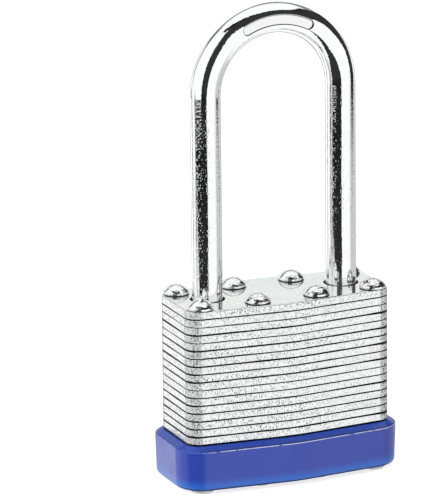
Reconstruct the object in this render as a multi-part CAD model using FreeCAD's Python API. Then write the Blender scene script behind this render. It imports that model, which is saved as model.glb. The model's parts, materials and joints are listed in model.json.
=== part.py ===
# Laminated padlock with a long shackle, stored closed with its cylinder turned to "open".
# Millimetres. +Z up, origin on the ground under the middle of the case, the long case side along X.
# The heel (the captive leg) is at -X, the toe (the free leg) at +X.

import FreeCAD
import Part
import math
import os

from FreeCAD import Vector

# ---- driving dimensions ------------------------------------------------------------------------

# case plates: a shallow hexagon, each long side peaked at mid-width
plate_width = 40.0
plate_depth_ends = 14.9
plate_depth_middle = 18.33
plate_corner_radius = 2.45
plate_ridge_radius = 25.0
plate_thickness = 1.476
plate_roll_radius = 0.3
plate_burr_break = 0.05
foot_plate_count = 1
cylinder_plate_count = 13
lever_plate_count = 2
roof_plate_count = 4
bumper_plate_count = 5
heel_floor_plate_count = 2

# rivets: a round head on top, a flat-topped tail below
rivet_end_inset = 2.91
rivet_side_inset = 1.75
rivet_cylinder_wall = 0.325
rivet_shank_radius = 1.6
rivet_head_radius = 2.45
rivet_head_height = 1.8
rivet_head_rim = 0.45
rivet_head_round = 0.25
rivet_tail_radius = 2.35
rivet_tail_height = 1.91
rivet_tail_chamfer = 0.35

# shackle
shackle_radius = 2.806
leg_end_inset = 6.71
shackle_straight = 37.72
toe_below_notch = 1.45
toe_chamfer = 0.7
toe_exit_gap = 0.75
heel_neck_radius = 1.45
heel_collar_length = 2.2
heel_collar_chamfer = 0.3
name_recess_half_angle = 26.7
name_recess_width = 1.7
name_recess_depth = 0.35
name_recess_round = 0.12

# locking levers and the drive on top of the plug
lever_rivet_wall = 0.77
lever_tongue_half_width = 2.0
lever_tongue_length = 1.6
lever_end_wall = 1.5
drive_pin_radius = 0.45
drive_pin_circle = 0.9
drive_pin_angle = 135.0
plug_turn = 90.0

# heel retainer: a forked clip round the neck of the heel
retainer_length = 7.4
retainer_rivet_wall = 0.52

# pin-tumbler cylinder
housing_radius = 6.2
housing_lobe_reach = 12.6
housing_lobe_half_width = 2.2
plug_radius = 4.7
plug_head_radius = 5.2
plug_face_recess = 0.3
plug_groove_radius = 3.9
plug_lip_height = 0.5
plug_tail_radius = 2.2
ring_outer_radius = 5.3
ring_thickness = 0.7
ring_gap_angle = 55.0
keyway_inner_x = -3.6
keyway_outer_x = 3.4
keyway_width = 1.1
ward_width = 0.5
ward_length = 2.2
pin_radius = 1.33
pin_tip_radius = 0.4
pin_tip_length = 0.9
pin_pitch = 3.6
pin_first_height = 3.2
key_pin_lengths = [3.4, 2.7, 3.1, 2.3]
driver_pin_length = 2.4
pin_spring_wire_radius = 0.12
pin_spring_radius = 0.95
pin_spring_turn_count = 8
spring_cap_length = 0.9

# shackle spring, in the well under the heel
shackle_spring_wire_radius = 0.28
shackle_spring_radius = 2.2
shackle_spring_turn_count = 7

# bumper: a moulded boot round the foot of the case
bumper_lip_thickness = 1.08
bumper_lip_reach = 2.2
bumper_wall_foot = 1.6
bumper_wall_top = 1.834
bumper_rim_wall = 0.3
bumper_rim_height = 0.8
bumper_top_drop = 0.2
bumper_foot_radius = 0.75
bumper_side_radius = 0.3
bumper_rim_radius = 0.2
bumper_corner_radius = 5.4
bumper_rim_corner_radius = 2.8
bumper_rounding_step_count = 4

# clearances
leg_clearance = 0.45
ring_clearance = 0.2
rivet_clearance = 0.03
seat_clearance = 0.05
running_clearance = 0.05
lever_float = 0.06
lever_side_clearance = 0.1
lever_centre_gap = 0.3
lever_retracted_gap = 0.15
lever_tip_gap = 0.2
lever_bar_gap = 0.4
drive_pin_clearance = 0.06
notch_clearance = 0.3
neck_clearance = 0.15
tail_relief = 0.2
stop_gap = 0.05
coil_gap = 0.06

# ---- levels ------------------------------------------------------------------------------------

# plates are numbered from 1 at the foot
first_cylinder_plate = 1 + foot_plate_count
ring_plate = first_cylinder_plate + cylinder_plate_count
retainer_plate = ring_plate + 1
first_lever_plate = retainer_plate + 1
first_roof_plate = first_lever_plate + lever_plate_count
plate_total = first_roof_plate + roof_plate_count - 1

stack_foot = rivet_tail_height


def plate_foot(number):
    return stack_foot + (number - 1) * plate_thickness


case_top = plate_foot(plate_total + 1)
housing_foot = plate_foot(first_cylinder_plate)
housing_top = plate_foot(ring_plate)
lever_floor = plate_foot(first_lever_plate)
lever_ceiling = plate_foot(first_roof_plate)

notch_foot = lever_floor - notch_clearance
notch_top = lever_ceiling + notch_clearance
toe_foot = notch_foot - toe_below_notch
shackle_lift = case_top - toe_foot + toe_exit_gap
neck_top = plate_foot(first_lever_plate) + stop_gap
collar_top = plate_foot(retainer_plate) - shackle_lift - stop_gap
heel_foot = collar_top - heel_collar_length
well_floor = plate_foot(heel_floor_plate_count + 1)
bow_centre = case_top + shackle_straight

# the inner rivets stand as close to the cylinder as its wall allows
shackle_leg_x = plate_width / 2 - leg_end_inset
rivet_outer_x = plate_width / 2 - rivet_end_inset
rivet_y = plate_depth_ends / 2 - rivet_side_inset
rivet_inner_circle = housing_radius + rivet_cylinder_wall + rivet_shank_radius
rivet_inner_x = math.sqrt(rivet_inner_circle ** 2 - rivet_y ** 2)
rivet_places = [(x, y) for x in (-rivet_outer_x, -rivet_inner_x, rivet_inner_x, rivet_outer_x)
                for y in (-rivet_y, rivet_y)]
rivet_hole_y = rivet_y - rivet_shank_radius - rivet_clearance
lever_half_width = rivet_hole_y - lever_rivet_wall - lever_side_clearance
retainer_half_width = rivet_hole_y - retainer_rivet_wall - seat_clearance

lever_travel = 2 * drive_pin_circle * math.cos(math.radians(180 - drive_pin_angle))
lever_retracted_tip = shackle_leg_x - shackle_radius - lever_retracted_gap
lever_extended_tip = lever_retracted_tip + lever_travel
notch_floor_x = lever_extended_tip + lever_tip_gap

bumper_foot = stack_foot - bumper_lip_thickness
bumper_top = plate_foot(bumper_plate_count + 1) - bumper_top_drop


# ---- shape helpers -----------------------------------------------------------------------------

def rounded_wire(corners, height):
    """Closed flat wire through (x, y, radius) corners, each corner rounded by its radius."""
    arcs = []
    for index, (x, y, radius) in enumerate(corners):
        corner = Vector(x, y, height)
        previous = corners[index - 1]
        following = corners[(index + 1) % len(corners)]
        back = (Vector(previous[0], previous[1], height) - corner).normalize()
        ahead = (Vector(following[0], following[1], height) - corner).normalize()
        half = back.getAngle(ahead) / 2
        reach = radius / math.tan(half)
        middle = (back + ahead).normalize()
        crown = corner + middle * (radius / math.sin(half) - radius)
        arcs.append((corner + back * reach, crown, corner + ahead * reach))
    edges = []
    for index, (start, crown, end) in enumerate(arcs):
        edges.append(Part.Arc(start, crown, end).toShape())
        edges.append(Part.LineSegment(end, arcs[(index + 1) % len(arcs)][0]).toShape())
    return Part.Wire(edges)


def case_outline(offset, corner_radius, height):
    """The plates' outline, moved outwards by offset."""
    half_width = plate_width / 2
    rise = (plate_depth_middle - plate_depth_ends) / 2
    slope = math.atan2(rise, half_width)
    shift = offset / math.cos(slope)
    ridge_y = plate_depth_middle / 2 + shift
    corner_x = half_width + offset
    corner_y = ridge_y - corner_x * math.tan(slope)
    ridge_radius = plate_ridge_radius + offset
    corners = [
        (corner_x, -corner_y, corner_radius),
        (corner_x, corner_y, corner_radius),
        (0, ridge_y, ridge_radius),
        (-corner_x, corner_y, corner_radius),
        (-corner_x, -corner_y, corner_radius),
        (0, -ridge_y, ridge_radius),
    ]
    return rounded_wire(corners, height)


def prism(wire, height):
    return Part.Face(wire).extrude(Vector(0, 0, height))


def upright(radius, foot, top, x=0.0, y=0.0):
    return Part.makeCylinder(radius, top - foot, Vector(x, y, foot))


def lying(radius, start, end, height):
    """Cylinder along +X from start to end."""
    return Part.makeCylinder(radius, end - start, Vector(start, 0, height), Vector(1, 0, 0))


def block(x_range, y_range, z_range):
    size = [span[1] - span[0] for span in (x_range, y_range, z_range)]
    return Part.makeBox(*size, Vector(x_range[0], y_range[0], z_range[0]))


def turned(points):
    """Solid of revolution about Z from a closed list of (radius, height) points."""
    corners = [Vector(radius, 0, height) for radius, height in points]
    outline = Part.makePolygon(corners + [corners[0]])
    return Part.Face(outline).revolve(Vector(0, 0, 0), Vector(0, 0, 1), 360)


def fused(shapes):
    return shapes[0].multiFuse(shapes[1:]).removeSplitter()


def coil(spring_radius, wire_radius, length, turn_count):
    """Round wire wound about +Z, its outer faces at 0 and length. Turns stay clear of each other."""
    rise = length - 2 * wire_radius
    fitting_count = min(turn_count, int(rise / (2 * wire_radius + coil_gap)))
    helix = Part.makeHelix(rise / fitting_count, rise, spring_radius)
    ring = Part.Circle(Vector(spring_radius, 0, 0), Vector(0, 1, 0), wire_radius)
    section = Part.Wire([ring.toShape()])
    spring = Part.Wire(helix).makePipeShell([section], True, True)
    spring.translate(Vector(0, 0, wire_radius))
    return spring


def at_pins(shape):
    return [shape.translated(Vector(0, 0, height)) for height in pin_heights()]


def pin_heights():
    first = housing_foot + pin_first_height
    return [first + index * pin_pitch for index in range(len(key_pin_lengths))]


def half_turned(shape):
    return shape.rotated(Vector(0, 0, 0), Vector(0, 0, 1), 180)


def from_home(shape):
    """The plug and its pins are drawn at the locked position, then turned to the open one."""
    return shape.rotated(Vector(0, 0, 0), Vector(0, 0, 1), -plug_turn)


# ---- case --------------------------------------------------------------------------------------

def leg_bore(side, foot, top):
    return upright(shackle_radius + leg_clearance, foot, top, side * shackle_leg_x)


def cylinder_bore(foot, top):
    reach = housing_lobe_reach + seat_clearance
    half = housing_lobe_half_width + seat_clearance
    lobe = block((0, reach), (-half, half), (foot, top))
    return upright(housing_radius + seat_clearance, foot, top).fuse(lobe)


def lever_pocket(foot, top):
    head_reach = lever_retracted_tip - lever_tongue_length + lever_travel + lever_tip_gap
    half = lever_half_width + lever_side_clearance
    tongue_half = lever_tongue_half_width + lever_side_clearance
    heads = block((-head_reach, head_reach), (-half, half), (foot, top))
    tongues = block((-shackle_leg_x, shackle_leg_x), (-tongue_half, tongue_half), (foot, top))
    return heads.fuse(tongues)


def retainer_blank(clearance, foot, top):
    half_length = retainer_length / 2 + clearance
    half_width = retainer_half_width + clearance
    x_range = (-shackle_leg_x - half_length, -shackle_leg_x + half_length)
    return block(x_range, (-half_width, half_width), (foot, top))


def plate_openings(number):
    """Everything cut out of one plate."""
    foot = plate_foot(number) - plate_thickness
    top = plate_foot(number) + 2 * plate_thickness
    openings = [upright(rivet_shank_radius + rivet_clearance, foot, top, x, y) for x, y in rivet_places]
    if number < first_cylinder_plate:
        openings.append(upright(plug_head_radius + running_clearance, foot, top))
    elif number < ring_plate:
        openings.append(cylinder_bore(foot, top))
    elif number == ring_plate:
        openings.append(upright(ring_outer_radius + ring_clearance, foot, top))
    elif number == retainer_plate:
        openings.append(upright(plug_tail_radius + running_clearance, foot, top))
        openings.append(retainer_blank(seat_clearance, foot, top))
    elif number < first_roof_plate:
        openings.append(lever_pocket(foot, top))
    if number > heel_floor_plate_count and number != retainer_plate:
        openings.append(leg_bore(-1, foot, top))
    if number >= ring_plate:
        openings.append(leg_bore(1, foot, top))
    return openings


def case_plate(number):
    """Stamped plate: its upper edge rolled by the die, its lower edge with the burr taken off."""
    foot = plate_foot(number)
    blank = prism(case_outline(0, plate_corner_radius, foot), plate_thickness)
    middle = foot + plate_thickness / 2
    level = [edge for edge in blank.Edges if abs(edge.tangentAt(edge.FirstParameter).z) < 0.5]
    upper = [edge for edge in level if edge.CenterOfMass.z > middle]
    rolled = blank.makeFillet(plate_roll_radius, upper)
    level = [edge for edge in rolled.Edges if abs(edge.CenterOfMass.z - foot) < plate_burr_break]
    return rolled.makeChamfer(plate_burr_break, level).cut(fused(plate_openings(number)))


def plate_name(number):
    if number == 1:
        return "base_plate"
    if number == plate_total:
        return "top_plate"
    return "case_plate_%02d" % number


def rivet_head():
    """A short upright rim under a dome, with both its edges rounded."""
    rim_top = case_top + rivet_head_rim
    head_top = case_top + rivet_head_height
    crown = head_top - rim_top
    ball_radius = (rivet_head_radius ** 2 + crown ** 2) / (2 * crown)
    ball = Part.makeSphere(ball_radius, Vector(0, 0, head_top - ball_radius))
    head = ball.common(upright(rivet_head_radius, case_top, head_top))
    creases = [edge for edge in head.Edges if edge.isClosed() and edge.Length > rivet_head_radius]
    return head.makeFillet(rivet_head_round, creases)


def rivet():
    bevel_radius = rivet_tail_radius - rivet_tail_chamfer
    shank = turned([
        (0, 0),
        (bevel_radius, 0),
        (rivet_tail_radius, rivet_tail_chamfer),
        (rivet_tail_radius, stack_foot),
        (rivet_shank_radius, stack_foot),
        (rivet_shank_radius, case_top),
        (0, case_top),
    ])
    return shank.fuse(rivet_head())


def rivets():
    single = rivet()
    return Part.makeCompound([single.translated(Vector(x, y, 0)) for x, y in rivet_places])


def rounded_profile(corners):
    """Points of an open (offset, height, radius) profile, its inner corners rounded."""
    points = [Vector(*corners[0][:2])]
    for before, at, after in zip(corners, corners[1:], corners[2:]):
        corner = Vector(*at[:2])
        radius = at[2]
        back = (Vector(*before[:2]) - corner).normalize()
        ahead = (Vector(*after[:2]) - corner).normalize()
        half = back.getAngle(ahead) / 2
        centre = corner + (back + ahead).normalize() * (radius / math.sin(half))
        start = corner + back * (radius / math.tan(half)) - centre
        end = corner + ahead * (radius / math.tan(half)) - centre
        for step in range(bumper_rounding_step_count + 1):
            share = step / bumper_rounding_step_count
            points.append(centre + (start * (1 - share) + end * share).normalize() * radius)
    points.append(Vector(*corners[-1][:2]))
    return [(point.x, point.y) for point in points]


def bumper_corner(offset, height, side_top):
    """Corner radius of the bumper's outline: the rim narrows faster than the side does."""
    if height <= side_top:
        return bumper_corner_radius - (bumper_wall_top - offset)
    narrowing = (bumper_corner_radius - bumper_rim_corner_radius) / (bumper_wall_top - bumper_rim_wall)
    return bumper_corner_radius - (bumper_wall_top - offset) * narrowing


def bumper():
    side_top = bumper_top - bumper_rim_height
    profile = rounded_profile([
        (bumper_wall_foot - 2 * bumper_foot_radius, bumper_foot, 0),
        (bumper_wall_foot, bumper_foot, bumper_foot_radius),
        (bumper_wall_top, side_top, bumper_side_radius),
        (bumper_rim_wall, bumper_top, bumper_rim_radius),
        (0, bumper_top, 0),
    ])
    wires = [case_outline(offset, bumper_corner(offset, height, side_top), height)
             for offset, height in profile[1:-1]]
    boot = Part.makeLoft(wires, True, True)
    inside = prism(case_outline(0, plate_corner_radius, stack_foot), case_top)
    mouth_radius = max(plate_corner_radius - bumper_lip_reach, 1.0)
    mouth = prism(case_outline(-bumper_lip_reach, mouth_radius, 0), case_top)
    relief_radius = rivet_tail_radius + tail_relief
    reliefs = [upright(relief_radius, -1, stack_foot, x, y) for x, y in rivet_places]
    return boot.cut(inside).cut(mouth).cut(fused(reliefs))


# ---- shackle -----------------------------------------------------------------------------------

def name_recess():
    """Flat-floored racetrack round the front of the bow, left bare."""
    half = name_recess_width / 2
    sweep = math.radians(name_recess_half_angle)
    floor_y = -(shackle_radius - name_recess_depth)
    depth = Vector(0, -2 * shackle_radius, 0)

    def on_bow(radius, angle):
        return Vector(radius * math.sin(angle), floor_y, bow_centre + radius * math.cos(angle))

    def arc(radius, first, last):
        middle = (first + last) / 2
        return Part.Arc(on_bow(radius, first), on_bow(radius, middle), on_bow(radius, last))

    def end_cap(angle, side):
        middle = on_bow(shackle_leg_x, angle + side * half / shackle_leg_x)
        inner = on_bow(shackle_leg_x - half, angle)
        outer = on_bow(shackle_leg_x + half, angle)
        return Part.Arc(inner, middle, outer)

    curves = [
        arc(shackle_leg_x - half, -sweep, sweep),
        end_cap(sweep, 1),
        arc(shackle_leg_x + half, sweep, -sweep),
        end_cap(-sweep, -1),
    ]
    outline = Part.Wire(Part.__sortEdges__([curve.toShape() for curve in curves]))
    return Part.Face(outline).extrude(depth)


def recess_rim(bar):
    """Edges where the recess meets the round surface of the bow."""
    rim_y = -math.sqrt(shackle_radius ** 2 - (name_recess_width / 2) ** 2)
    floor_y = name_recess_depth - shackle_radius
    below_rim_y = (3 * rim_y + floor_y) / 4
    return [edge for edge in bar.Edges
            if edge.CenterOfMass.z > bow_centre and edge.CenterOfMass.y < below_rim_y]


def lever_notch(side):
    reach = shackle_leg_x + shackle_radius
    span = sorted((side * (shackle_leg_x - 2 * shackle_radius), side * notch_floor_x))
    return block(span, (-reach, reach), (notch_foot, notch_top))


def heel_leg():
    bevel = heel_collar_chamfer
    leg = turned([
        (0, heel_foot),
        (shackle_radius - bevel, heel_foot),
        (shackle_radius, heel_foot + bevel),
        (shackle_radius, collar_top),
        (heel_neck_radius, collar_top),
        (heel_neck_radius, neck_top),
        (shackle_radius, neck_top),
        (shackle_radius, bow_centre),
        (0, bow_centre),
    ])
    return leg.translated(Vector(-shackle_leg_x, 0, 0)).cut(lever_notch(-1))


def toe_leg():
    leg = turned([
        (0, toe_foot),
        (shackle_radius - toe_chamfer, toe_foot),
        (shackle_radius, toe_foot + toe_chamfer),
        (shackle_radius, bow_centre),
        (0, bow_centre),
    ])
    return leg.translated(Vector(shackle_leg_x, 0, 0)).cut(lever_notch(1))


def shackle():
    ring = Part.Circle(Vector(shackle_leg_x, 0, bow_centre), Vector(0, 0, 1), shackle_radius)
    disc = Part.Face(Part.Wire([ring.toShape()]))
    bow = disc.revolve(Vector(0, 0, bow_centre), Vector(0, -1, 0), 180)
    bar = fused([bow, heel_leg(), toe_leg()]).cut(name_recess())
    return bar.makeFillet(name_recess_round, recess_rim(bar))


def heel_retainer():
    foot = plate_foot(retainer_plate)
    top = foot + plate_thickness - stop_gap
    slot_radius = heel_neck_radius + neck_clearance
    mouth = block((-shackle_leg_x, 0), (-slot_radius, slot_radius), (foot, top))
    slot = upright(slot_radius, foot, top, -shackle_leg_x).fuse(mouth)
    return retainer_blank(0, foot, top).cut(slot)


def shackle_spring():
    spring = coil(shackle_spring_radius, shackle_spring_wire_radius, heel_foot - well_floor,
                  shackle_spring_turn_count)
    return spring.translated(Vector(-shackle_leg_x, 0, well_floor))


# ---- levers ------------------------------------------------------------------------------------

def heel_lever():
    """Retracted. The heel's lever lies on the +Y side of the middle, the toe's on the other."""
    foot = lever_floor + lever_float
    top = lever_ceiling - lever_float
    pin_x = lever_travel / 2
    slot_half = drive_pin_radius + drive_pin_clearance
    bar_end = pin_x + slot_half + lever_end_wall
    inner_y = lever_centre_gap / 2
    head_start = -(lever_retracted_tip - lever_tongue_length)
    tongue = block((-lever_retracted_tip, 0), (-lever_tongue_half_width, lever_tongue_half_width),
                   (foot, top))
    head = block((head_start, 0), (-lever_half_width, lever_half_width), (foot, top))
    bar = block((head_start, bar_end), (inner_y, lever_half_width), (foot, top))
    beyond = block((-bar_end - lever_bar_gap, bar_end), (-lever_half_width, inner_y), (foot, top))
    slot_reach = drive_pin_circle + slot_half + drive_pin_clearance
    slot = block((pin_x - slot_half, pin_x + slot_half), (0, slot_reach), (foot, top))
    return fused([tongue, head, bar]).cut(beyond).cut(slot)


def toe_lever():
    return half_turned(heel_lever())


# ---- cylinder ----------------------------------------------------------------------------------

def cylinder_housing():
    half = housing_lobe_half_width
    lobe = block((0, housing_lobe_reach), (-half, half), (housing_foot, housing_top))
    body = upright(housing_radius, housing_foot, housing_top).fuse(lobe)
    bore = upright(plug_radius + running_clearance, housing_foot, housing_top)
    chambers = at_pins(lying(pin_radius + running_clearance, 0, housing_lobe_reach, 0))
    return body.cut(fused([bore] + chambers))


def keyway():
    """Slot for the key, with a ward standing in from each side."""
    foot = stack_foot
    top = pin_heights()[-1] + pin_pitch / 2
    half = keyway_width / 2
    slot = block((keyway_inner_x, keyway_outer_x), (-half, half), (foot, top))
    back_x = (keyway_inner_x, keyway_inner_x + ward_length)
    front_x = (keyway_outer_x - ward_length, keyway_outer_x)
    back = block(back_x, (half - ward_width, half + ward_width), (foot, top))
    front = block(front_x, (-half - ward_width, ward_width - half), (foot, top))
    return fused([slot, back, front])


def drive_pin(angle):
    x = drive_pin_circle * math.cos(math.radians(angle))
    y = drive_pin_circle * math.sin(math.radians(angle))
    return upright(drive_pin_radius, lever_floor - plate_thickness, lever_ceiling - lever_float, x, y)


def plug():
    face = stack_foot + plug_face_recess
    groove_top = housing_top + ring_thickness + 2 * stop_gap
    lip_top = groove_top + plug_lip_height
    tail_top = lever_floor - stop_gap
    body = turned([
        (0, face),
        (plug_head_radius, face),
        (plug_head_radius, housing_foot - stop_gap),
        (plug_radius, housing_foot - stop_gap),
        (plug_radius, housing_top),
        (plug_groove_radius, housing_top),
        (plug_groove_radius, groove_top),
        (plug_radius, groove_top),
        (plug_radius, lip_top),
        (plug_tail_radius, lip_top),
        (plug_tail_radius, tail_top),
        (0, tail_top),
    ])
    pins = [drive_pin(drive_pin_angle), drive_pin(drive_pin_angle + 180)]
    chambers = at_pins(lying(pin_radius + running_clearance, 0, plug_radius + 1, 0))
    return from_home(fused([body] + pins).cut(fused([keyway()] + chambers)))


def plug_ring():
    foot = housing_top + stop_gap
    inner_radius = plug_groove_radius + running_clearance
    band = upright(ring_outer_radius, foot, foot + ring_thickness)
    band = band.cut(upright(inner_radius, foot, foot + ring_thickness))
    wedge = Part.makeCylinder(2 * ring_outer_radius, ring_thickness, Vector(0, 0, foot),
                              Vector(0, 0, 1), ring_gap_angle)
    return from_home(band.cut(wedge))


def key_pin(index):
    """Pointed towards the key, its flat end just under the shear line."""
    outer = math.sqrt(plug_radius ** 2 - pin_radius ** 2)
    tip_x = outer - key_pin_lengths[index]
    height = pin_heights()[index]
    tip = Part.makeCone(pin_tip_radius, pin_radius, pin_tip_length, Vector(tip_x, 0, height),
                        Vector(1, 0, 0))
    return from_home(tip.fuse(lying(pin_radius, tip_x + pin_tip_length, outer, height)))


def driver_pin(index):
    start = plug_radius + 2 * running_clearance
    return lying(pin_radius, start, start + driver_pin_length, pin_heights()[index])


def pin_spring(index):
    start = plug_radius + 2 * running_clearance + driver_pin_length
    end = housing_lobe_reach - spring_cap_length
    spring = coil(pin_spring_radius, pin_spring_wire_radius, end - start, pin_spring_turn_count)
    spring = spring.rotated(Vector(0, 0, 0), Vector(0, 1, 0), 90)
    return spring.translated(Vector(start, 0, pin_heights()[index]))


def spring_caps():
    cap = lying(pin_radius + running_clearance, housing_lobe_reach - spring_cap_length,
                housing_lobe_reach, 0)
    return Part.makeCompound(at_pins(cap))


# ---- export ------------------------------------------------------------------------------------

nodes = {plate_name(number): case_plate(number) for number in range(1, plate_total + 1)}
nodes["rivets"] = rivets()
nodes["bumper"] = bumper()
nodes["shackle"] = shackle()
nodes["heel_retainer"] = heel_retainer()
nodes["shackle_spring"] = shackle_spring()
nodes["heel_lever"] = heel_lever()
nodes["toe_lever"] = toe_lever()
nodes["cylinder_housing"] = cylinder_housing()
nodes["plug"] = plug()
nodes["plug_ring"] = plug_ring()
nodes["spring_caps"] = spring_caps()
for index in range(len(key_pin_lengths)):
    nodes["key_pin_%d" % (index + 1)] = key_pin(index)
    nodes["driver_pin_%d" % (index + 1)] = driver_pin(index)
    nodes["pin_spring_%d" % (index + 1)] = pin_spring(index)

os.makedirs("parts", exist_ok=True)
for name, shape in nodes.items():
    shape.exportStep("parts/%s.step" % name)
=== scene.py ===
import bmesh
import bpy
import json
import math
from mathutils import Matrix, Vector

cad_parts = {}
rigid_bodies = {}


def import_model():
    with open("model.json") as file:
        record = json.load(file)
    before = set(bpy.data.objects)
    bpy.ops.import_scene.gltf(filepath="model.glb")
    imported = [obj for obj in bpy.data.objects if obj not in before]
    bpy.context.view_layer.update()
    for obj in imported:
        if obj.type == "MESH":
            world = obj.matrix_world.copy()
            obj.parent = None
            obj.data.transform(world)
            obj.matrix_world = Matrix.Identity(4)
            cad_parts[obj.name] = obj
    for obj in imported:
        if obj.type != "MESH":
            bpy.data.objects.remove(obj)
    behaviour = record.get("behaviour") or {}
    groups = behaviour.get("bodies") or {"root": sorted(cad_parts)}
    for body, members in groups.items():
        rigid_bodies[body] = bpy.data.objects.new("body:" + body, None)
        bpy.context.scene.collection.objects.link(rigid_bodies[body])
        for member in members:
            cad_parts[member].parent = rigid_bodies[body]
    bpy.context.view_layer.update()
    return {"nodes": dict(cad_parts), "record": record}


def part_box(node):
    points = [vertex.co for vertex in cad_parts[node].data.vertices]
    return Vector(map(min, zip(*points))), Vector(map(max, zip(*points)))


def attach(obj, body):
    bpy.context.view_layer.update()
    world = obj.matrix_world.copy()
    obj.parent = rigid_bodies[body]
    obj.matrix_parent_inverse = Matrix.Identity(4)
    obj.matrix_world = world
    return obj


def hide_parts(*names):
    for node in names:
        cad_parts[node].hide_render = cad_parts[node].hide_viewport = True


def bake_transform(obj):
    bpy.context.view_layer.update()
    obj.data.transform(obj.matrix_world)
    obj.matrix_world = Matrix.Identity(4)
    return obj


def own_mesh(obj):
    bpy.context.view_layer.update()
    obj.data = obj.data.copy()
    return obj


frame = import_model()
print("frame loaded, %d nodes" % len(frame["nodes"]))

mm = 0.001


class Field:  # a shader socket that takes part in Python sums
    def __init__(self, nodes, socket):
        self.nodes, self.socket = nodes, socket

    def join(self, operation, first, second=0.0):
        return self.nodes.node("ShaderNodeMath", {"operation": operation}, {0: first, 1: second})

    def __add__(self, other):
        return self.join("ADD", self, other)

    def __radd__(self, other):
        return self.join("ADD", other, self)

    def __sub__(self, other):
        return self.join("SUBTRACT", self, other)

    def __rsub__(self, other):
        return self.join("SUBTRACT", other, self)

    def __mul__(self, other):
        return self.join("MULTIPLY", self, other)

    def __rmul__(self, other):
        return self.join("MULTIPLY", other, self)

    def __truediv__(self, other):
        return self.join("DIVIDE", self, other)

    def __rtruediv__(self, other):
        return self.join("DIVIDE", other, self)

    def __neg__(self):
        return self.join("MULTIPLY", self, -1.0)

    def __abs__(self):
        return self.join("ABSOLUTE", self)

    def __pow__(self, other):
        return self.join("POWER", self, other)

    def floor(self):
        return self.join("FLOOR", self)

    def least(self, other):
        return self.join("MINIMUM", self, other)

    def most(self, other):
        return self.join("MAXIMUM", self, other)

    def bearing(self, ahead):  # angle of a direction from straight ahead, in radians
        return self.join("ARCTAN2", self, ahead)

    def arcsine(self):
        return self.join("ARCSINE", self)

    def ramp(self, low, high, start=0.0, end=1.0):  # start up to low, end from high, smooth between
        inputs = {0: self, 1: low, 2: high, 3: start, 4: end}
        return self.nodes.node("ShaderNodeMapRange", {"interpolation_type": "SMOOTHSTEP"}, inputs)

    def above(self, edge, soft):  # 1 where the value is over the edge
        return (self - edge).ramp(-soft, soft)

    def within(self, low, high, soft):  # 1 between two edges
        return self.above(low, soft) * (1 - self.above(high, soft))


class Nodes:  # the nodes of one tree
    def __init__(self, tree, out):
        self.tree = tree
        self.out = tree.nodes[out]

    def node(self, kind, settings=None, inputs=None, output=0):
        made = self.tree.nodes.new(kind)
        for key, value in (settings or {}).items():
            setattr(made, key, value)
        for key, value in (inputs or {}).items():
            if isinstance(value, Field):
                self.tree.links.new(value.socket, made.inputs[key])
            else:
                made.inputs[key].default_value = value
        return Field(self, made.outputs[output])

    def rays(self, kind):  # 1 for light of this kind
        return self.node("ShaderNodeLightPath", output=kind)

    def close(self, shader):  # the shader that the whole tree ends in
        self.tree.links.new(shader.socket, self.out.inputs["Surface"])


class Finish(Nodes):  # one material and its nodes
    def __init__(self, name, **constants):
        self.material = bpy.data.materials.new(name)
        self.material.use_nodes = True
        super().__init__(self.material.node_tree, "Material Output")
        self.surface = self.tree.nodes["Principled BSDF"]
        for socket, value in constants.items():
            self.surface.inputs[socket.replace("_", " ")].default_value = value

    def place(self, axis):  # one coordinate of the point on the object, in metres
        spot = self.node("ShaderNodeTexCoord", output="Object")
        return self.node("ShaderNodeSeparateXYZ", inputs={0: spot}, output=axis)

    def stretched(self, stretch):  # the point on the object, with its axes scaled
        spot = self.node("ShaderNodeTexCoord", output="Object")
        return self.node("ShaderNodeMapping", inputs={"Vector": spot, "Scale": stretch})

    def noise(self, scale, detail=2.0, stretch=(1, 1, 1), roughness=0.5):
        inputs = {"Vector": self.stretched(stretch), "Scale": scale, "Detail": detail}
        inputs["Roughness"] = roughness
        return self.node("ShaderNodeTexNoise", inputs=inputs)

    def spots(self, scale, stretch, inner, outer):  # evenly strewn spots of mixed strength
        inputs = {"Vector": self.stretched(stretch), "Scale": scale}
        distance = self.node("ShaderNodeTexVoronoi", inputs=inputs, output="Distance")
        mixed = self.node("ShaderNodeTexVoronoi", inputs=inputs, output="Color")
        strength = self.node("ShaderNodeSeparateColor", inputs={0: mixed}, output=0)
        return distance.ramp(inner, outer, 1.0, 0.0) * strength.ramp(0.0, 0.7)

    def blend(self, amount, first, second):  # colours
        inputs = {0: amount, 6: first, 7: second}
        return self.node("ShaderNodeMix", {"data_type": "RGBA"}, inputs, output=2)

    def bump(self, height, strength, distance):
        inputs = {"Height": height, "Strength": strength, "Distance": distance}
        self.feed("Normal", self.node("ShaderNodeBump", inputs=inputs))

    def feed(self, socket, value):
        self.tree.links.new(value.socket, self.surface.inputs[socket])


def across(name):  # lowest corner, highest corner of a piece at rest
    low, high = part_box(name)
    return Vector(low), Vector(high)


plates = {
    "foot": across("base_plate")[0].z,
    "top": across("top_plate")[1].z,
    "pitch": across("top_plate")[1].z - across("top_plate")[0].z,
    # height of a painted shade line on the plates, where they enter the bumper
    "bumperShadeLine": across("bumper")[1].z,
    "cornerEnd": across("top_plate")[1].x - 2.5 * mm,  # the corners start here along the sides
    "cornerSide": 4.9 * mm,  # and here along the ends
    "steel": (0.955, 0.96, 0.962, 1),
    "fleck": (0.014, 0.015, 0.016, 1),
    # the dark lines between the plates: painted shade in the joints, and grime
    "shadeAndGrime": (0.006, 0.006, 0.007, 1),
    "faceCool": (0.72, 0.79, 0.77, 1),
    "faceWarm": (0.81, 0.825, 0.80, 1),
    "lineWidth": 0.035,  # of the dark lines, as a share of a plate's thickness
    "lineSoft": 0.012,
    "fleckScale": 3300,
    "fleckStretch": (1.6, 1.6, 0.75),
    "speckScale": 5200,
    "cornerReflectionScale": 3100,
    "roughness": 0.2,
    "metallic": 0.9,
    "grainScale": 2500,
    "grainDepth": 0.14 * mm,
}


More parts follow.
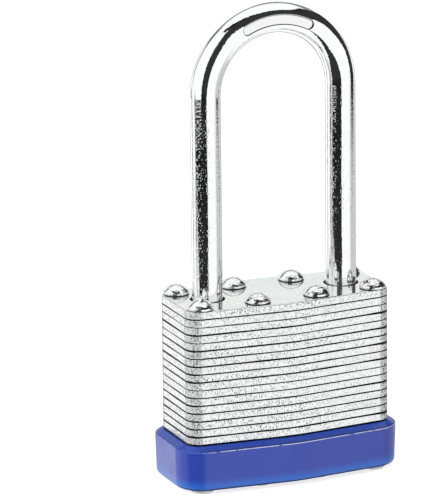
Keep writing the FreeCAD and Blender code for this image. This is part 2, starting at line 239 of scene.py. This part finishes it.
def plateCorners(finish):  # 1 on the four rounded corners
    soft = 0.4 * mm
    end = abs(finish.place("X")).ramp(plates["cornerEnd"], plates["cornerEnd"] + soft)
    return end * abs(finish.place("Y")).ramp(plates["cornerSide"], plates["cornerSide"] + soft)


def plateLines(finish, joint, fromJoint):  # painted shade and grime in the joints between the plates, of uneven width, with a painted shade line where the plates enter the bumper
    x, z = finish.place("X"), finish.place("Z")
    cornerEnd = plates["cornerEnd"]
    chance = finish.node("ShaderNodeTexWhiteNoise", {"noise_dimensions": "1D"}, {"W": joint})
    uneven = finish.noise(110, 3, (1, 1, 6)).ramp(0.35, 0.65)
    rolled = x.ramp(cornerEnd - 4 * mm, cornerEnd + 2 * mm) * chance.ramp(0.55, 0.75)  # on some plates
    ends = abs(x).ramp(cornerEnd, cornerEnd + 2 * mm)
    width = plates["lineWidth"] + chance * 0.06 + uneven * 0.035 + rolled * 0.05 + ends * 0.03
    covered = (z - plates["top"]).ramp(-0.5 * mm, -0.4 * mm, 1.0, 0.0)  # no line at the top or the foot
    covered = covered * (z - plates["foot"]).ramp(0.02 * mm, 0.1 * mm)
    # painted shade where the plates enter the bumper
    gapShade = abs(z - plates["bumperShadeLine"]).ramp(0.2 * mm, 0.34 * mm, 1.0, 0.0)
    return ((1 - fromJoint.above(width, plates["lineSoft"])) * covered).most(gapShade)


def plateFlecks(finish, fromJoint):  # small dark marks, fewer to the right, and fewer beside the lines as a painted highlight
    strokes = finish.spots(plates["fleckScale"], plates["fleckStretch"], 0.33, 0.48)
    specks = finish.noise(plates["speckScale"], 1).ramp(0.56, 0.64)
    worn = finish.noise(90, 2, (1, 1, 5)).ramp(0.35, 0.65, 0.6, 1.0)
    worn = worn * finish.place("X").ramp(-2 * mm, 12 * mm, 1.0, 0.65)
    lineHighlight = fromJoint.ramp(0.08, 0.2, 0.35, 1.0)  # painted highlight: brighter along the lines
    return (strokes * worn).most(specks * 0.2) * lineHighlight


def plateCornerReflection(finish):  # painted dark reflection on the corners, in spots, stronger to the right
    darkReflection = finish.spots(plates["cornerReflectionScale"], (1, 1, 1), 0.33, 0.46)
    return darkReflection * finish.place("X").ramp(-5 * mm, 5 * mm, 0.55, 1.0)


def sheared(name, withFace=False):  # zinc-plated edges of stamped plates, and the face of the top one
    finish = Finish(name, Metallic=plates["metallic"], Roughness=plates["roughness"])
    z = finish.place("Z")
    level = (z - plates["foot"]) / plates["pitch"]
    joint = (level + 0.5).floor()  # the nearest joint, counted from the foot
    fromJoint = abs(level - joint)
    corner = plateCorners(finish)
    flecks = plateFlecks(finish, fromJoint)
    # painted shade and grime in the joints, with the painted dark reflection on the corners
    shadeAndGrime = plateLines(finish, joint, fromJoint).most(corner * plateCornerReflection(finish))
    body = finish.blend(flecks, plates["steel"], plates["fleck"])
    colour = finish.blend(shadeAndGrime, body, plates["shadeAndGrime"])
    roughness = plates["roughness"] + flecks * 0.2 + shadeAndGrime * 0.2
    grain = finish.noise(plates["grainScale"], 2.5, (1, 1, 0.5), 0.65)
    if withFace:
        face = (z - plates["top"]).ramp(-0.12 * mm, -0.02 * mm)
        cloud = finish.noise(180, 4, (1, 1, 1), 0.6).ramp(0.3, 0.7)
        sheet = finish.blend(cloud, plates["faceCool"], plates["faceWarm"])
        speckle = finish.spots(3000, (1, 1, 1), 0.2, 0.5) * 0.3
        sheet = finish.blend(speckle, sheet, plates["fleck"])
        polish = finish.noise(900, 3).ramp(0.3, 0.7, 0.02, 0.07)
        colour = finish.blend(face, colour, sheet)
        roughness = roughness * (1 - face) + polish * face
        grain = grain * (1 - face * 0.94)  # the face is smoother
    matte = corner * finish.noise(3600, 1).ramp(0.36, 0.44)  # duller corners
    finish.feed("Base Color", colour)
    finish.feed("Roughness", roughness)
    finish.feed("Metallic", plates["metallic"] - matte * 0.8)
    finish.bump(grain * (0.5 + corner * 0.75), 1.0, plates["grainDepth"])
    return finish.material


platingDepth = 0.02 * mm
platings = {  # waves and pits are multiples of that depth
    "shackleChrome": {"colour": (0.95, 0.955, 0.96, 1), "roughness": 0.02, "wave": 0.5, "pits": 0.8},
    "rivetSteel": {"colour": (0.95, 0.955, 0.96, 1), "roughness": 0.01, "wave": 0.7, "pits": 2.0},
    "innerSteel": {"colour": (0.55, 0.55, 0.56, 1), "roughness": 0.35, "wave": 0.3, "pits": 0.2},
}


def plating(name):  # bright plating before it is fed: its shade, haze, waves and small pits
    look = platings[name]
    finish = Finish(name, Metallic=1.0, Roughness=look["roughness"])
    dull = tuple(part * 0.97 for part in look["colour"])
    shade = finish.blend(finish.noise(400, 2).ramp(0.4, 0.7), look["colour"], dull)
    haze = finish.noise(700, 3).ramp(0.35, 0.75, look["roughness"] * 0.7, look["roughness"] * 1.6)
    waves = finish.noise(2200, 2) * look["wave"]
    worn = finish.noise(120, 3, (1, 1, 0.4)).ramp(0.35, 0.65, 0.25, 1.0)
    pits = finish.spots(3400, (1, 1, 0.6), 0.2, 0.5) * worn * look["pits"]
    return finish, shade, haze, waves, pits


def plated(finish, shade, haze, height):
    finish.feed("Base Color", shade)
    finish.feed("Roughness", haze)
    finish.bump(height, 1.0, platingDepth)
    return finish.material


bow = {  # with a recess for a name on its front
    "radius": across("shackle")[1].x - across("shackle")[1].y,
    "centre": across("shackle")[1].z - across("shackle")[1].x,
    "halfSweep": math.radians(26.7),
    "halfWidth": 0.85 * mm,
    "outline": 0.03 * mm,
    "floor": (0.88, 0.88, 0.885, 1),
    # painted shade along the outline of the recess
    "edge": (0.10, 0.10, 0.105, 1),
}


def bowRecess(finish):  # distance outside the outline of the recess, far away behind the bow
    x, y, z = finish.place("X"), finish.place("Y"), finish.place("Z")
    up = z - bow["centre"]
    past = (abs(x).bearing(up) - bow["halfSweep"]).most(0.0) * bow["radius"]
    off = (x * x + up * up) ** 0.5 - bow["radius"]
    distance = (past * past + off * off) ** 0.5 - bow["halfWidth"]
    return distance + y.ramp(-1.5 * mm, -1.0 * mm, 0.0, 1.0)


def shacklePlating():
    finish, shade, haze, waves, pits = plating("shackleChrome")
    leg = finish.place("Z").ramp(bow["centre"] - 4 * mm, bow["centre"] + 2 * mm, 1.0, 0.0)
    distance = bowRecess(finish)
    floor = 1 - distance.above(-bow["outline"], bow["outline"])
    # painted shade along the recess outline
    edge = abs(distance - bow["outline"]).ramp(0.04 * mm, 0.12 * mm, 1.0, 0.0)
    satin = finish.noise(4500, 2)
    drawn = finish.noise(3000, 2, (1, 1, 0.02)) * leg  # fine lines down the legs
    shade = finish.blend(edge, finish.blend(floor, shade, bow["floor"]), bow["edge"])
    haze = haze * (1 - floor) + floor * 0.2
    height = (waves - pits * (leg * 0.75 + 0.15)) * (1 - floor)
    return plated(finish, shade, haze, height + satin * floor * 0.8 + drawn * 0.7)


rivetMarks = {
    "seat": across("top_plate")[1].z,  # each head has a ring of painted shade here, where it meets the plate
    "tail": across("base_plate")[0].z,  # the tails below here are dull
    # painted shade at the foot of each head
    "ring": (0.006, 0.006, 0.007, 1),
}


def rivetPlating():
    finish, shade, haze, waves, pits = plating("rivetSteel")
    z = finish.place("Z")
    # painted shade where the head meets the plate
    ring = abs(z - rivetMarks["seat"]).ramp(0.08 * mm, 0.24 * mm, 0.95, 0.0)
    tail = z.ramp(rivetMarks["tail"] - 0.1 * mm, rivetMarks["tail"], 1.0, 0.0)
    finish.feed("Metallic", 1 - tail * 0.8)
    shade = finish.blend(ring, shade, rivetMarks["ring"])
    return plated(finish, shade, haze + tail * 0.4, waves - pits)


def innerPlating():
    finish, shade, haze, waves, pits = plating("innerSteel")
    return plated(finish, shade, haze, waves - pits)


boot = {
    "foot": across("bumper")[0].z,
    "top": across("bumper")[1].z,
    "rim": 0.8 * mm,
    "bounceBand": 2.6 * mm,  # painted light bounced from the floor: lighter towards the foot
    "blue": (0.022, 0.063, 0.5, 1),
    "bounceBlue": (0.018, 0.195, 0.82, 1),
    "shade": (0.003, 0.018, 0.16, 1),
    # the rim is painted a darker blue, as shade
    "rimShadeBlue": (0.014, 0.065, 0.43, 1),
    # colour of a painted highlight along the edge of the rim
    "edgeHighlight": (0.85, 0.9, 1.0, 1),
    "gloss": 0.5,
}


def moulded(name):  # the bumper
    finish = Finish(name, Roughness=0.3, IOR=1.52, Coat_Weight=boot["gloss"], Coat_Roughness=0.32)
    z = finish.place("Z")
    # painted light from the floor, lighter towards the foot
    low = z.ramp(boot["foot"], boot["foot"] + boot["bounceBand"], 1.0, 0.0)
    # painted shade along the foot
    footShade = z.ramp(boot["foot"] + 0.3 * mm, boot["foot"] + 0.6 * mm, 1.0, 0.0)
    edgeHeight = z - (boot["top"] - boot["rim"] - 0.02 * mm)
    rim = edgeHeight.ramp(0, 0.05 * mm)
    # painted highlight line along the rim's edge
    edge = abs(edgeHeight).ramp(0.03 * mm, 0.08 * mm, 1.0, 0.0)
    # painted shade just above the highlight line
    seamShade = abs(edgeHeight - 0.17 * mm).ramp(0.03 * mm, 0.12 * mm, 1.0, 0.0)
    patches = finish.noise(45, 2).ramp(0.33, 0.46)
    broken = finish.noise(600, 4, (1, 1, 1), 0.7).ramp(0.36, 0.52) * patches
    shade = finish.blend(low, boot["blue"], boot["bounceBlue"])
    # the rim painted a darker blue, as shade
    shade = finish.blend(rim * 0.7, shade, boot["rimShadeBlue"])
    shade = finish.blend((seamShade * patches * 0.8).most(footShade), shade, boot["shade"])
    finish.feed("Base Color", finish.blend(edge * broken, shade, boot["edgeHighlight"]))
    finish.feed("Coat Weight", (boot["gloss"] - rim * 0.42) * (1 - footShade))
    finish.feed("Roughness", finish.noise(300, 3).ramp(0.3, 0.8, 0.26, 0.38) + footShade * 0.5)
    finish.bump(finish.noise(900, 3, (1, 1, 0.3)), 0.03, 0.2 * mm)
    return finish.material


brass = {
    "dark": (0.72, 0.50, 0.20, 1),
    "light": (0.84, 0.64, 0.32, 1),
}


def turnedBrass(name):
    finish = Finish(name, Metallic=1.0, Roughness=0.3)
    finish.feed("Base Color", finish.blend(finish.noise(500, 3), brass["dark"], brass["light"]))
    finish.feed("Roughness", finish.noise(900, 3).ramp(0.3, 0.7, 0.22, 0.38))
    finish.bump(finish.noise(2500, 2, (1, 1, 0.2)), 0.15, 0.03 * mm)
    return finish.material


def coat(names, material):
    for name in names:
        mesh = frame["nodes"][name].data
        mesh.materials.clear()
        mesh.materials.append(material)


def named(part):  # every node with this in its name
    return [name for name in frame["nodes"] if part in name]


coat(named("case_plate") + ["base_plate"], sheared("plateSteel"))
coat(["top_plate"], sheared("topSteel", withFace=True))
coat(["shackle"], shacklePlating())
coat(["rivets"], rivetPlating())
coat(["bumper"], moulded("bumperBlue"))
coat(named("_pin_") + ["plug", "cylinder_housing", "spring_caps"], turnedBrass("cylinderBrass"))
innerSteel = innerPlating()
coat(["plug_ring", "heel_lever", "toe_lever", "heel_retainer"], innerSteel)
coat(named("pin_spring") + ["shackle_spring"], innerSteel)
print("finishes set")


def springCopy(source):  # a copy of a coil, standing in for its node
    coil = bmesh.new()
    coil.from_mesh(frame["nodes"][source].data)
    bmesh.ops.remove_doubles(coil, verts=coil.verts, dist=0.001 * mm)
    mesh = bpy.data.meshes.new(source + "_coil")
    coil.to_mesh(mesh)
    coil.free()
    mesh.materials.append(innerSteel)
    made = bpy.data.objects.new(source + "_coil", mesh)
    bpy.context.scene.collection.objects.link(made)
    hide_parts(source)
    return made


def pinSpring(source, joint):  # a copy of the coil, carried by its joint's parent body
    made = springCopy(source)
    low, high = across(source)
    keep = 1 - joint["range_m"][1] / (high.x - low.x)
    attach(made, joint["parent"])
    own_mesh(made)


def liftSpring(source, joint):  # a copy of the coil, with its placement baked into the mesh
    made = springCopy(source)
    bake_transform(made)


springKinds = {"scale_x": pinSpring, "scale_z": liftSpring}
for joint in frame["record"]["behaviour"]["joints"]:
    for deforming in joint.get("deforming_nodes", []):
        springKinds[deforming["mode"]](deforming["node"], joint)
print("springs made")


def bare(name):  # a material with only its output left
    finish = Finish(name)
    finish.tree.nodes.remove(finish.surface)
    return finish


def addStage(name, shape, material):
    mesh = bpy.data.meshes.new(name)
    shape.to_mesh(mesh)
    shape.free()
    mesh.materials.append(material)
    made = bpy.data.objects.new(name, mesh)
    bpy.context.scene.collection.objects.link(made)
    return made


floorLook = {
    "halfWidth": 3.0,  # metres
    "grey": (0.7, 0.7, 0.7, 1),
    "glow": 0.75,  # towards the camera only
}


def paper(name):  # white to the camera, takes a soft shadow, and lets reflections see the tent
    finish = bare(name)
    seen = finish.rays("Is Camera Ray").most(finish.rays("Is Transmission Ray"))
    sheet = finish.node("ShaderNodeBsdfDiffuse", inputs={"Color": floorLook["grey"]})
    glow = finish.node("ShaderNodeEmission", inputs={"Strength": seen * floorLook["glow"]})
    lit = finish.node("ShaderNodeAddShader", inputs={0: sheet, 1: glow})
    clear = finish.node("ShaderNodeBsdfTransparent")
    below = finish.node("ShaderNodeNewGeometry", output="Backfacing")
    away = finish.rays("Is Glossy Ray").most(below)
    finish.close(finish.node("ShaderNodeMixShader", inputs={0: away, 1: lit, 2: clear}))
    return finish.material


floorShape = bmesh.new()
bmesh.ops.create_grid(floorShape, x_segments=1, y_segments=1, size=floorLook["halfWidth"])
addStage("floor", floorShape, paper("floorPaper"))

tentLook = {
    "radius": 0.6,
    "centre": (0, 0, 0.0456),
    "facing": math.radians(-22.834),  # of its dark opening, from -Y
    "bright": 1.04,
    "dark": 0.03,  # deep in the opening
    "darkest": 0.003,  # along its edge
    "edgeSoft": 1.5,  # degrees
    "deepSoft": 13.0,
}
tentGreys = {  # from, to and softness in degrees, round and up, and the share of light that is taken
    "left": {"turn": (-134, -112, 6), "rise": (0, 42, 8), "taken": 0.5},
    "farFrame": {"turn": (-122, -114, 2), "rise": (-50, -4, 4), "taken": 0.8},
    "nearFrame": {"turn": (-86, -78, 2), "rise": (-50, -4, 4), "taken": 0.8},
    "panel": {"turn": (-142, -126, 5), "rise": (-60, 0, 8), "taken": -0.3},
    "right": {"turn": (76, 152, 6), "rise": (-30, -8, 5), "taken": 0.4},
    "rearLow": {"turn": (147, 213, 5), "rise": (-45, 4, 5), "taken": 0.5},
    "rearHigh": {"turn": (120, 240, 5), "rise": (26, 44, 2.5), "taken": 0.75},
}


# 1 in the dark opening, 0 outside it and in the lit window that stands in it, with angles in degrees
def tentOpening(turn, rise, soft):
    crown = 74 - ((turn + 12) / 60) ** 2.0 * 10  # arched upper edge
    side = (150 - abs(rise - 22) * 1.05).least(118 - (rise - 50) * 4.9)  # far edge on the right
    dome = (1 - rise.above(crown, soft)) * (1 - turn.above(80, soft))
    wing = (1 - rise.above(52, soft)) * (1 - turn.above(side, soft))
    upper = dome.most(wing) * turn.above(-31, soft) * rise.above(-12, soft)
    arc = turn.within(-75, -28, soft) * rise.within(58, crown, soft)  # goes on to the left, high up
    hollow = -54 + ((turn + 8) / 60) ** 2.0 * 24  # sagging lower edge
    left = (-73 - (rise + 14) * 5).least(-62).most(-86)
    lower = turn.within(left, 38, soft) * rise.within(hollow, -10, soft)
    windowRight = 96 - abs(rise - 6) * 0.6
    windowTop = 33 - (turn - 10) * 0.12
    windowSoft = soft * 0.7
    window = turn.within(9, windowRight, windowSoft) * rise.within(-38, windowTop, windowSoft)
    return upper.most(arc).most(lower) * (1 - window)


def tentCloth(name):  # white cloth with greys and a dark opening, only seen in reflections
    finish = bare(name)
    x, y, z = finish.place("X"), finish.place("Y"), finish.place("Z")
    turn = x.bearing(-y) * math.degrees(1)
    rise = (z / tentLook["radius"]).arcsine() * math.degrees(1)

    def grey(part, about):
        patch = tentGreys[part]
        return about.within(*patch["turn"]) * rise.within(*patch["rise"]) * patch["taken"]

    frames = grey("farFrame", turn).most(grey("nearFrame", turn))
    leftSide = grey("left", turn).most(frames) + grey("panel", turn)
    rear = grey("rearLow", abs(turn)).most(grey("rearHigh", abs(turn)))
    cloth = (1 - leftSide) * (1 - grey("right", turn).most(rear))
    edge = tentOpening(turn, rise, tentLook["edgeSoft"])
    deep = tentOpening(turn, rise, tentLook["deepSoft"]).ramp(0.45, 1.0)
    hole = deep * tentLook["dark"] + tentLook["darkest"]
    level = cloth * (1 - edge) * tentLook["bright"] + edge * hole
    finish.close(finish.node("ShaderNodeEmission", inputs={"Strength": level}))
    finish.material.cycles.emission_sampling = "NONE"
    return finish.material


tentShape = bmesh.new()
bmesh.ops.create_uvsphere(tentShape, u_segments=72, v_segments=36, radius=tentLook["radius"])
tent = addStage("tent", tentShape, tentCloth("tentCloth"))
tent.location = tentLook["centre"]
tent.rotation_euler = (0, 0, tentLook["facing"])
tent.visible_camera = False
tent.visible_diffuse = False
tent.visible_shadow = False
tent.visible_transmission = False

skyLevel = 0.6  # on the object, and 1 wherever the sky itself is seen
world = bpy.data.worlds.new("studio")
world.use_nodes = True
bpy.context.scene.world = world
sky = Nodes(world.node_tree, "World Output")
sky.tree.nodes.remove(sky.tree.nodes["Background"])
seen = sky.rays("Is Glossy Ray").most(sky.rays("Is Transmission Ray"))
seen = seen.most(sky.rays("Is Camera Ray"))
light = {"Color": (1, 1, 1, 1), "Strength": seen.ramp(0.0, 1.0, skyLevel, 1.0)}
sky.close(sky.node("ShaderNodeBackground", inputs=light))

keyBox = {  # a soft lamp high on the left
    "place": (-0.75, -0.4, 0.6),
    "target": (0, 0, 0.02),
    "side": 0.5,
    "power": 4,  # watts
}


def softbox(name, box):
    lamp = bpy.data.lights.new(name, "AREA")
    lamp.shape = "SQUARE"
    lamp.size = box["side"]
    lamp.energy = box["power"]
    made = bpy.data.objects.new(name, lamp)
    aim = Vector(box["target"]) - Vector(box["place"])
    made.location = box["place"]
    made.rotation_euler = aim.to_track_quat("-Z", "Y").to_euler()
    made.visible_glossy = False
    bpy.context.scene.collection.objects.link(made)


softbox("keyBox", keyBox)
print("studio lit")

view = {
    "place": (-327.44 * mm, -751.06 * mm, 266.76 * mm),
    "target": (-11.207 * mm, 0, 43.777 * mm),
    "roll": math.radians(-0.616),
    "lens": 339.32,  # millimetres, as the sensor
    "sensor": 36,
    "reach": 10,  # metres
}

eye = bpy.data.cameras.new("eye")
eye.lens = view["lens"]
eye.sensor_width = view["sensor"]
eye.clip_end = view["reach"]
eyeObject = bpy.data.objects.new("eye", eye)
aim = (Vector(view["target"]) - Vector(view["place"])).to_track_quat("-Z", "Y").to_matrix()
rolled = Matrix.Rotation(view["roll"], 3, "Z")
eyeObject.matrix_world = Matrix.Translation(view["place"]) @ (aim @ rolled).to_4x4()
bpy.context.scene.collection.objects.link(eyeObject)
bpy.context.scene.camera = eyeObject
bpy.context.scene.view_settings.view_transform = "Standard"
print("camera placed")
